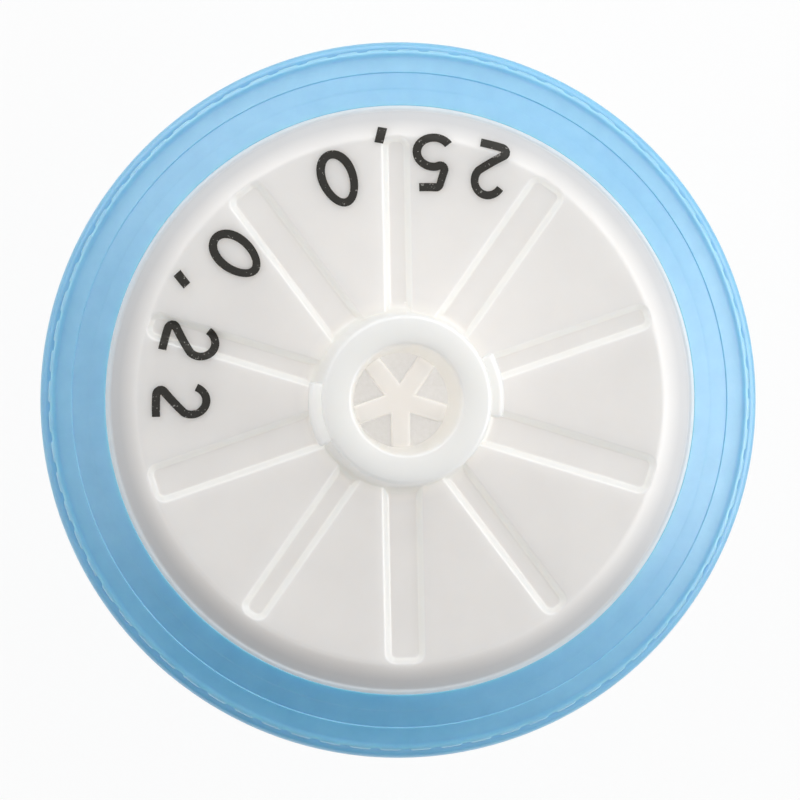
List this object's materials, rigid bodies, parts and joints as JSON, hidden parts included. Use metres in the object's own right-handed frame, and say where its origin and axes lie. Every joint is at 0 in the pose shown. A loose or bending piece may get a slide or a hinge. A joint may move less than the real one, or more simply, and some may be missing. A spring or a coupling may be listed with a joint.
{
  "type": "syringe filter",
  "caption": "Disc-shaped syringe filter: female luer-lock inlet hub, ribbed clear housing round a flat membrane, serrated grip ring and male luer slip outlet.",
  "frame": {"origin": "centre of the male luer outlet's end face", "axes": "+Z along the flow axis from outlet to inlet, +X across the two lugs to within a few degrees"},
  "size_m": [0.029, 0.029, 0.022],
  "materials": {
    "natural_pp_inlet": "satin natural polypropylene, milky and slightly see-through",
    "natural_pp_outlet": "satin natural polypropylene, milky and slightly see-through",
    "membrane_white": "matt white PTFE membrane",
    "blue_pp_ring": "satin light blue polypropylene"
  },
  "bodies": {
    "root": {"inlet_housing": "natural_pp_inlet", "outlet_housing": "natural_pp_outlet", "membrane": "membrane_white", "seal_ring": "blue_pp_ring"}
  },
  "joints": []
}
